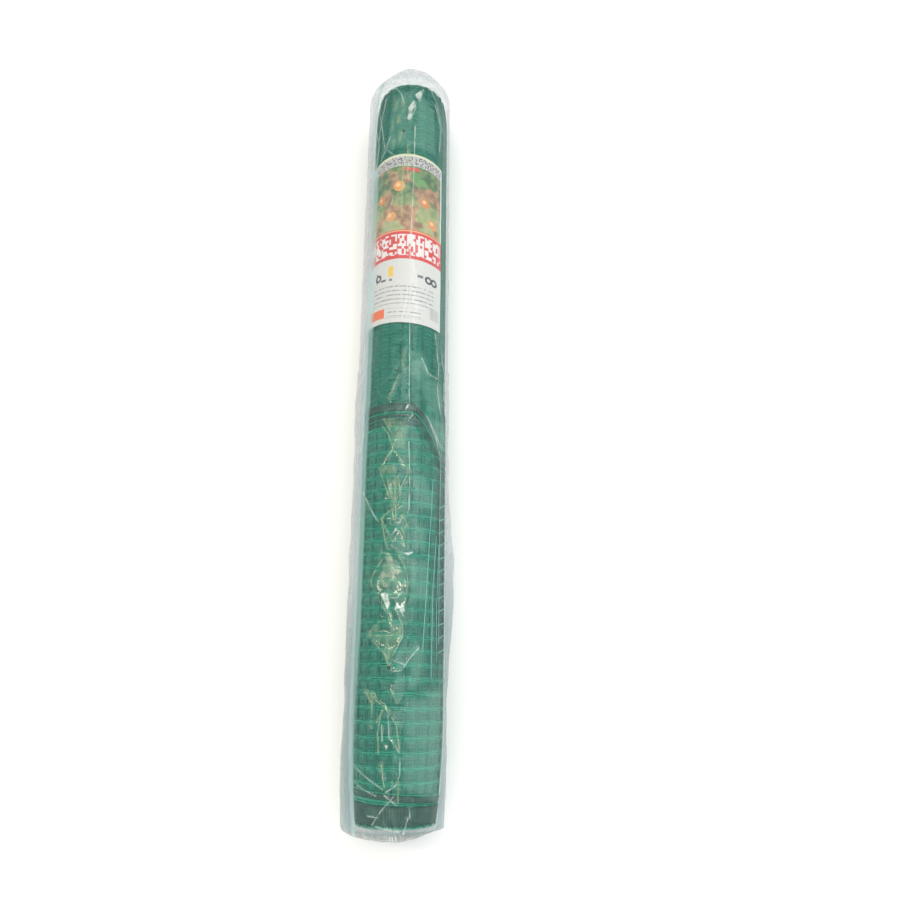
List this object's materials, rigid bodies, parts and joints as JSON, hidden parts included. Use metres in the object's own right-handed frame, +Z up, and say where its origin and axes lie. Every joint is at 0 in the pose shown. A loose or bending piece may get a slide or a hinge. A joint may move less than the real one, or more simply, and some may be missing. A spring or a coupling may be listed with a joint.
{
  "type": "animal fence net roll",
  "caption": "Roll of green 16 mm animal fence net, 1 m long, lying in its clear film bag with a printed sheet.",
  "frame": {"origin": "on the floor, under the middle of the whole package's box", "axes": "+Z up, +Y along the roll towards its far end, the one with the printed sheet and the gathered film"},
  "size_m": [0.1322, 1.0528, 0.1122],
  "materials": {
    "net": "satin",
    "film": "gloss",
    "label": "satin"
  },
  "bodies": {
    "root": {"net_roll": "net", "film_bag": "film", "label_sheet": "label"}
  },
  "joints": []
}
